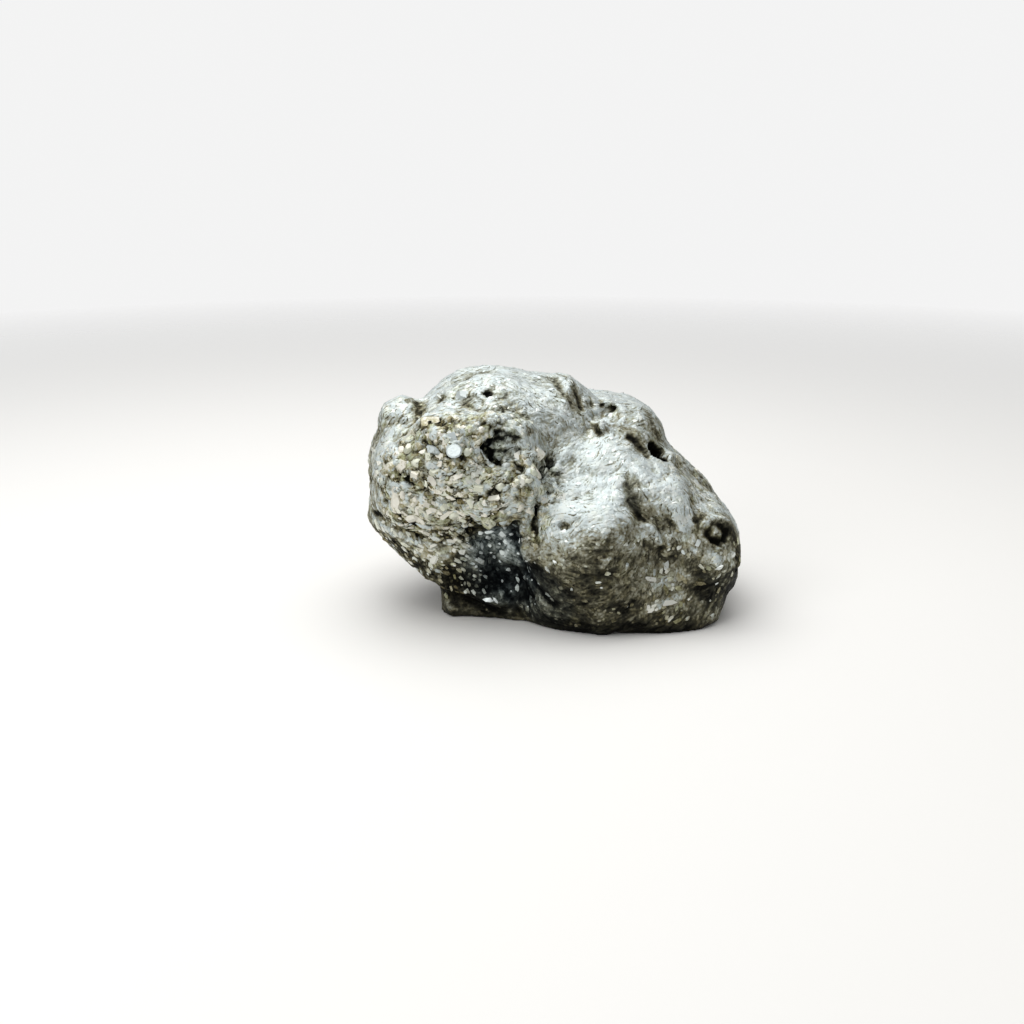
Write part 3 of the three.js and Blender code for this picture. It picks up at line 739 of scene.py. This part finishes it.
def crustTree():
    sizes = ("Mask From", "Spacing", "Density", "Least", "Most", "Flat", "Long", "Sink", "Lean", "Spin",
             "Tone From")
    tree, given = newTree("crystalCrust", dict.fromkeys(sizes, "Float") | {
        "Mask": "String", "Seed": "Int", "Forms": "Collection", "Material": "Material"})
    seeds = [addNode(tree, "FunctionNodeIntegerMath", {0: given["Seed"], 1: i}, operation="ADD")
             for i in range(1, 6)]

    mask = addNode(tree, "GeometryNodeInputNamedAttribute", {"Name": given["Mask"]})
    share = mapNode(tree, mask, given["Mask From"])
    points = addNode(tree, "GeometryNodeDistributePointsOnFaces", {
        "Mesh": given["Geometry"], "Distance Min": given["Spacing"], "Density Max": given["Density"],
        "Density Factor": share, "Seed": given["Seed"]}, distribute_method="POISSON")
    chance = addNode(tree, "FunctionNodeRandomValue", {"Seed": seeds[0]}, data_type="FLOAT")
    skew = mathNode(tree, "POWER", chance, 1.6)  # more small ones
    size = mapNode(tree, skew, least=given["Least"], most=given["Most"])
    depth = mathNode(tree, "MULTIPLY", size, given["Sink"])
    inward = scaleNode(tree, points.outputs["Normal"], -1.0)
    push = scaleNode(tree, inward, depth)
    placed = addNode(tree, "GeometryNodeSetPosition", {"Geometry": points.outputs["Points"], "Offset": push})

    # each lies along the grain of the skin, but for a lean and a spin of its own
    flow = addNode(tree, "GeometryNodeInputNamedAttribute", {"Name": "flow"}, data_type="FLOAT_VECTOR")
    along = addNode(tree, "FunctionNodeAxesToRotation", {0: points.outputs["Normal"], 1: flow},
                    primary_axis="Z", secondary_axis="X")
    most = addNode(tree, "ShaderNodeCombineXYZ", {0: given["Lean"], 1: given["Lean"], 2: given["Spin"]})
    least = scaleNode(tree, most, -1.0)
    turns = addNode(tree, "FunctionNodeRandomValue", {"Min": least, "Max": most, "Seed": seeds[1]},
                    data_type="FLOAT_VECTOR")
    turn = addNode(tree, "FunctionNodeEulerToRotation", {0: turns})
    whole = addNode(tree, "FunctionNodeRotateRotation", {0: along, 1: turn}, rotation_space="LOCAL")

    # each is as flat as its kind, and from about half as long as the longest up to it
    short = mathNode(tree, "MULTIPLY", given["Long"], 0.45)
    stretch = addNode(tree, "FunctionNodeRandomValue", {"Min": short, "Max": given["Long"], "Seed": seeds[2]},
                      data_type="FLOAT")
    spread = addNode(tree, "ShaderNodeCombineXYZ", {0: stretch, 1: 1.0, 2: given["Flat"]})
    scale = scaleNode(tree, spread, size)
    forms = addNode(tree, "GeometryNodeCollectionInfo", {
        "Collection": given["Forms"], "Separate Children": True, "Reset Children": True})
    # a number past the last form counts on from the first
    which = addNode(tree, "FunctionNodeRandomValue", {"Min": 0, "Max": 7, "Seed": seeds[3]}, data_type="INT")
    grown = addNode(tree, "GeometryNodeInstanceOnPoints", {
        "Points": placed, "Instance": forms, "Pick Instance": True, "Rotation": whole, "Scale": scale,
        "Instance Index": which})
    tone = addNode(tree, "FunctionNodeRandomValue", {
        "Min": given["Tone From"], "Max": 1.0, "Seed": seeds[4]}, data_type="FLOAT")
    toned = addNode(tree, "GeometryNodeStoreNamedAttribute", {
        "Geometry": grown, "Name": "tone", "Value": tone}, data_type="FLOAT", domain="INSTANCE")
    real = addNode(tree, "GeometryNodeRealizeInstances", {"Geometry": toned})
    finished = addNode(tree, "GeometryNodeSetMaterial", {"Geometry": real, "Material": given["Material"]})
    addNode(tree, "NodeGroupOutput", {0: finished})
    return tree


def growCrystals(kind, skin, tree, forms, material):
    piece = addObject(kind["name"], skin.data.copy())
    crust = piece.modifiers.new("crust", "NODES")
    crust.node_group = tree
    setInputs(crust, {
        "Mask": kind["mask"], "Mask From": kind["maskFrom"], "Spacing": kind["spacing"] * mm,
        "Density": kind["perSquare"] / mm ** 2, "Least": kind["least"] * mm, "Most": kind["most"] * mm,
        "Flat": kind["flat"], "Long": kind["long"], "Sink": kind["sink"], "Lean": math.radians(kind["lean"]),
        "Spin": math.radians(kind["spin"]), "Tone From": kind["toneFrom"], "Seed": kind["seed"],
        "Forms": forms, "Material": material})
    mesh = settle(piece).data
    mesh.calc_loop_triangles()
    print(kind["name"], len(mesh.loop_triangles), "triangles")
    for form in list(forms.objects):
        bpy.data.objects.remove(form)
    bpy.data.collections.remove(forms)
    return piece


# The one bright round facet: the end of a crystal that grows straight out of the stone, turned to the softbox
# and painted at full light as a painted highlight
facet = {
    "at": (-28.2, -31.3, 53.4), "across": 4.4, "thick": 1.5, "root": 5.0,
    "facing": (0.0, -0.74, 0.67), "sides": 14,
    "rings": ((0.5, -0.5), (0.5, 0.3), (0.42, 0.5)),  # radius and height, counted in across and thick
}


def makeFacet(material):
    corners = []
    for radius, height in facet["rings"]:
        for i in range(facet["sides"]):
            around = 2 * math.pi * i / facet["sides"]
            corners.append((radius * math.cos(around), radius * math.sin(around), height))
    piece = hull("bright_facet", corners)
    turn = Vector(facet["facing"]).to_track_quat("Z", "Y")
    across, thick = facet["across"] * mm, facet["thick"] * mm
    middle, root = Vector(facet["at"]) * mm, Vector((0, facet["root"], 0)) * mm
    for vertex in piece.data.vertices:
        x, y, z = vertex.co
        start = middle + root if z < 0 else middle
        vertex.co = turn @ Vector((x * across, y * across, z * thick)) + start
    bpy.context.scene.collection.objects.link(piece)
    # full tone and full painted light: a painted highlight
    for name, value in (("tone", 1.0), ("shine", 1.0), ("coarse", 0.3)):
        storeOnPoints(piece.data, name, np.full(len(piece.data.vertices), value))
    piece.data.materials.append(material)
    return piece


# How much a finish's grains differ in tone, the roughness of its dullest and brightest, its bump, how far the
# hair-fine grain shows, how much brighter it is than the stone around it (a paler tone, and on the glints a
# painted highlight), and its share of cream
finishes = {
    "weathered_pyrite": {
        "tones": 0.5, "rough": (0.76, 0.62), "bump": 0.2, "hair": 0.8, "lift": 0.0, "warm": 0.3},
    "pyrite_crystal": {
        "tones": 0.85, "rough": (0.74, 0.62), "bump": 0.15, "hair": 0.3, "lift": 0.12, "warm": 0.6},
    "pyrite_sliver": {
        "tones": 0.4, "rough": (0.68, 0.52), "bump": 0.1, "hair": 0.5, "lift": 0.0, "warm": 0.3},
    "pyrite_flake": {
        "tones": 0.9, "rough": (0.68, 0.56), "bump": 0.1, "hair": 0.2, "lift": 0.22, "warm": 0.7},
    "pyrite_glint": {
        "tones": 0.4, "rough": (0.56, 0.42), "bump": 0.1, "hair": 0.2, "lift": 0.56, "warm": 0.3},
}

# Clouds of tarnish, from broad to fine: size, detail and roughness
clouds = {"stain": (6, 5.0, 0.6), "blot": (2.6, 3.0, 0.55), "speck": (0.75, 1.0, 0.5)}

# The hair-fine grain: really about 0.1 mm wide, drawn as coarse as it needs to show
hairs = {"size": 0.5, "step": 0.36, "reach": 3, "height": 0.3}

# Between which values of its pattern each mark comes in
ranges = {
    "hair": (0.34, 0.66), "line": (0.37, 0.25), "lineCloud": (0.42, 0.58), "gain": (0.15, 0.7),
    "patch": (0.3, 0.7), "glint": (0.9, 0.97), "cloudTint": (0.5, 0.62), "lotTint": (0.1, 0.35),
    "olive": (0.7, 0.8),
}

# What each pattern adds to the brightness at its most
# coarse is painted shade between the coarse crystals, glint a painted highlight, and the last two are painted
# shade at each crystal's foot and painted light on its top
weights = {"stain": 0.5, "hair": 0.4, "speck": 0.6, "line": -0.55, "patch": 0.2, "streak": 0.04,
           "coarse": -0.26, "glint": 0.08, "foot": -0.2, "top": 0.08}

shadeRamps = {  # from black in full painted shade, 0, to bright in full painted light, 1
    "silver": {0.0: "161613", 0.2: "3E3D34", 0.32: "595748", 0.46: "7F7D6C", 0.62: "A2A294", 0.82: "B8BFBC",
               1.0: "D3DBDB"},
    "cream": {0.0: "171610", 0.2: "44402B", 0.32: "625A3E", 0.46: "887F5C", 0.62: "ACA685", 0.82: "C8C5B0",
              1.0: "EAE8DE"},
    "olive": {0.0: "15150F", 0.2: "3B3A27", 0.32: "57553A", 0.46: "7D7B59", 0.62: "A0A27E", 0.82: "BFC3A6",
              1.0: "DDE0D0"},
    "blue": {0.0: "0F1316", 0.2: "30383B", 0.4: "5E6A6C", 0.7: "A5B0B0", 1.0: "D8E0E0"},
}


def hairPattern(tree, place):  # a fine noise drawn out along the grain of the skin
    flow = addNode(tree, "ShaderNodeAttribute", attribute_name="flow").outputs["Vector"]
    steps = range(-hairs["reach"], hairs["reach"] + 1)
    total = None
    for step in steps:
        moved = vectorNode(tree, "MULTIPLY_ADD", flow, (hairs["step"] * mm * step,) * 3, place)
        wave = addNode(tree, "ShaderNodeTexNoise", {
            "Vector": moved, "Scale": 1 / (hairs["size"] * mm), "Detail": 0.0})
        total = mathNode(tree, "ADD", total, wave) if total else wave
    return mapNode(tree, total, *(end * len(steps) for end in ranges["hair"]))


def brightness(tree, finish, onStone, read):
    grain = read["own"]
    if onStone:
        grain = addNode(tree, "ShaderNodeMix", {0: read["coarse"], "A": read["blot"], "B": grain},
                        data_type="FLOAT")
    parts = [(read["stain"], weights["stain"]), (grain, finish["tones"]),
             (read["hair"], weights["hair"] * finish["hair"]), (read["speck"], weights["speck"])]
    change = -0.5 * sum(share for source, share in parts)
    for source, share in parts:
        change = mathNode(tree, "MULTIPLY_ADD", source, share, change)

    # dark lines along the grain, here and there on the bright skin
    line = mapNode(tree, read["hair"], *ranges["line"])
    here = mapNode(tree, read["stain"], *ranges["lineCloud"])
    line = mathNode(tree, "MULTIPLY", line, here)
    line = mathNode(tree, "MULTIPLY", line, read["shine"])
    change = mathNode(tree, "MULTIPLY_ADD", line, weights["line"] * finish["hair"], change)

    # the deeper the painted shade on the skin, the less its patterns show
    gain = mapNode(tree, read["shine"], *ranges["gain"], least=0.3 if onStone else 0.7)
    # the painted light and shade, raised by the finish's lift, which on the glints is a painted highlight
    bright = mathNode(tree, "ADD", read["shine"], finish["lift"])
    bright = mathNode(tree, "MULTIPLY_ADD", change, gain, bright)
    patch = mapNode(tree, read["stain"], *ranges["patch"], -weights["patch"], weights["patch"])
    bright = mathNode(tree, "MULTIPLY_ADD", patch, read["coarse"], bright)
    if onStone:
        # the streaks of the grain, and painted shade on the skin between the coarse crystals
        for mark in ("streak", "coarse"):
            bright = mathNode(tree, "MULTIPLY_ADD", read[mark], weights[mark], bright)
        return bright
    # a painted glint on the brightest-toned grains, painted light on each crystal's top and painted shade at
    # its foot
    glint = mapNode(tree, grain, *ranges["glint"], most=weights["glint"])
    edge = mapNode(tree, read["rise"], 0.4, least=weights["foot"], most=weights["top"])
    for more in (glint, edge):
        bright = mathNode(tree, "ADD", bright, more)
    return bright


# the colour of the painted light and shade, each ramp from full painted shade to full painted light
def shadedColour(tree, finish, onStone, read, bright):
    shadeRamp = {}
    for tone, stops in shadeRamps.items():
        shadeRamp[tone] = addNode(tree, "ShaderNodeValToRGB", {"Fac": bright})
        band = shadeRamp[tone].color_ramp.elements
        for i in range(len(stops) - 2):
            band.new(0.5)
        for element, (at, colour) in zip(band, stops.items()):
            element.position = at
            element.color = linear(colour)

    # cream and olive grains stand among the silver ones where the crystals are coarse
    if onStone:
        tint = mapNode(tree, read["blot"], *ranges["cloudTint"])
    else:
        lot = mathNode(tree, "MULTIPLY", read["own"], 7.0)
        lot = mathNode(tree, "FRACT", lot)
        tint = mapNode(tree, lot, *ranges["lotTint"])
    amount = mapNode(tree, read["coarse"], least=finish["warm"])
    warm = mathNode(tree, "MULTIPLY", tint, amount)
    colour = addNode(tree, "ShaderNodeMix", {0: warm, "A": shadeRamp["silver"], "B": shadeRamp["cream"]},
                     data_type="RGBA")
    lot = mathNode(tree, "MULTIPLY", read["own"], 13.0)
    lot = mathNode(tree, "FRACT", lot)
    green = mapNode(tree, lot, *ranges["olive"], most=0.8)
    green = mathNode(tree, "MULTIPLY", green, amount)
    colour = addNode(tree, "ShaderNodeMix", {0: green, "A": colour, "B": shadeRamp["olive"]}, data_type="RGBA")
    # blue: painted shade in the hollows and a painted sky reflection on the open tops
    deep = mapNode(tree, read["blue"], most=0.9)
    return addNode(tree, "ShaderNodeMix", {0: deep, "A": colour, "B": shadeRamp["blue"]}, data_type="RGBA")


def pyrite(name):
    # Massive pyrite, broken and weathered: a metal whose colour holds painted light and shade, pale silver
    # where it is open to the sky, cream on its coarse crystals, olive to black in painted shade underneath
    # and blue-black in painted shade deep in its hollows.
    finish, onStone = finishes[name], name == "weathered_pyrite"
    material = bpy.data.materials.new(name)
    material.use_nodes = True
    tree = material.node_tree
    tree.nodes.clear()
    place = addNode(tree, "ShaderNodeTexCoord").outputs["Object"]
    # what the finish reads from the skin holds its painted light and shade
    marks = {"shine": "shine", "coarse": "coarse", "blue": "blue"}
    marks |= {"own": "cell", "streak": "streak"} if onStone else {"own": "tone", "rise": "rise"}
    read = {label: addNode(tree, "ShaderNodeAttribute", attribute_name=mark).outputs["Fac"]
            for label, mark in marks.items()}
    for label, (size, detail, roughness) in clouds.items():
        read[label] = addNode(tree, "ShaderNodeTexNoise", {
            "Vector": place, "Scale": 1 / (size * mm), "Detail": detail, "Roughness": roughness})
    read["hair"] = hairPattern(tree, place)
    bright = brightness(tree, finish, onStone, read)
    colour = shadedColour(tree, finish, onStone, read, bright)
    dullest, brightest = finish["rough"]
    rough = mapNode(tree, read["blot"] if onStone else read["own"], least=dullest, most=brightest)
    height = mathNode(tree, "MULTIPLY", read["hair"], hairs["height"] * mm)
    bump = addNode(tree, "ShaderNodeBump", {"Strength": finish["bump"], "Distance": 1.0, "Height": height})
    shader = addNode(tree, "ShaderNodeBsdfPrincipled", {
        "Base Color": colour, "Metallic": 1.0, "Roughness": rough, "Normal": bump})
    addNode(tree, "ShaderNodeOutputMaterial", {"Surface": shader})
    return material


floor = {"radius": 2.4, "paper": "F2F1EE", "fadeFrom": 0.2, "fadeTo": 0.9}  # metres


def makeFloor():
    # Matt white paper, which fades far off into the white behind it
    material = bpy.data.materials.new("matt_paper")
    material.use_nodes = True
    tree = material.node_tree
    tree.nodes.clear()
    sheet = addNode(tree, "ShaderNodeBsdfPrincipled", {
        "Base Color": linear(floor["paper"]), "Roughness": 0.9})
    place = addNode(tree, "ShaderNodeTexCoord").outputs["Object"]
    away = vectorNode(tree, "LENGTH", place)
    fade = mapNode(tree, away, floor["fadeFrom"], floor["fadeTo"])
    seen = addNode(tree, "ShaderNodeLightPath").outputs["Is Camera Ray"]
    fade = mathNode(tree, "MULTIPLY", fade, seen)
    clear = addNode(tree, "ShaderNodeBsdfTransparent")
    both = addNode(tree, "ShaderNodeMixShader", {0: fade, 1: sheet, 2: clear})
    addNode(tree, "ShaderNodeOutputMaterial", {"Surface": both})
    edit = bmesh.new()
    bmesh.ops.create_circle(edit, cap_ends=True, segments=96, radius=floor["radius"])
    mesh = bpy.data.meshes.new("floor")
    edit.to_mesh(mesh)
    edit.free()
    mesh.materials.append(material)
    addObject("floor", mesh)


studio = {
    "eye": (-12.47, -321.29, 125), "down": 17, "lens": 38.6, "aim": (0, 0, 30),
    "softbox": (-80, 60, 520), "softboxSide": 620, "softboxPower": 2.6,
    "fill": (-420, -420, 300), "fillSide": 300, "fillPower": 0.9,
    # a dull dome all around, white from this height up, in front of white paper
    "dome": 0.6, "domeFoot": 0.1, "domeTop": 0.9, "paper": (0.9, 0.9, 0.9, 1),
}


def makeCamera():
    camera = bpy.data.cameras.new("camera")
    camera.lens = studio["lens"]
    camera.sensor_width = 36
    camera.clip_start = 0.01
    eye = addObject("camera", camera)
    eye.location = Vector(studio["eye"]) * mm
    eye.rotation_euler = (math.radians(90 - studio["down"]), 0, 0)
    bpy.context.scene.camera = eye


def makeLights():
    for name in ("softbox", "fill"):
        light = bpy.data.lights.new(name, "AREA")
        light.size = studio[name + "Side"] * mm
        light.energy = studio[name + "Power"]
        lamp = addObject(name, light)
        lamp.location = Vector(studio[name]) * mm
        aim = Vector(studio["aim"]) * mm - lamp.location
        lamp.rotation_euler = aim.to_track_quat("-Z", "Y").to_euler()
    world = bpy.data.worlds.new("studio")
    bpy.context.scene.world = world
    world.use_nodes = True
    tree = world.node_tree
    tree.nodes.clear()
    way = addNode(tree, "ShaderNodeTexCoord").outputs["Generated"]
    height = addNode(tree, "ShaderNodeSeparateXYZ", {0: way}).outputs[2]
    glow = mapNode(tree, height, stop=studio["domeTop"], least=studio["domeFoot"])
    shown = addNode(tree, "ShaderNodeLightPath").outputs["Is Camera Ray"]
    dome = addNode(tree, "ShaderNodeBackground", {"Color": glow, "Strength": studio["dome"]})
    paper = addNode(tree, "ShaderNodeBackground", {"Color": studio["paper"], "Strength": 1.0})
    both = addNode(tree, "ShaderNodeMixShader", {0: shown, 1: dome, 2: paper})
    addNode(tree, "ShaderNodeOutputWorld", {"Surface": both})
    bpy.context.scene.view_settings.view_transform = "Standard"


makeCamera()
makeLights()
makeFloor()
print("studio ready")
body = makeStone()
crust = crustTree()
crystalMaterial = pyrite("pyrite_crystal")
pieces = [
    body,
    growCrystals(coarseCrystals, body, crust, coarseForms(), crystalMaterial),
    growCrystals(fineCrystals, body, crust, sliverForms("fine"), pyrite("pyrite_sliver")),
    growCrystals(flakeCrystals, body, crust, sliverForms("flake"), pyrite("pyrite_flake")),
    growCrystals(glintCrystals, body, crust, sliverForms("glint"), pyrite("pyrite_glint")),
    makeFacet(crystalMaterial),
]
body.data.materials.clear()
body.data.materials.append(pyrite("weathered_pyrite"))
for piece in pieces:
    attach(piece, "root")
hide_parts(stone["node"])
print("pieces placed")
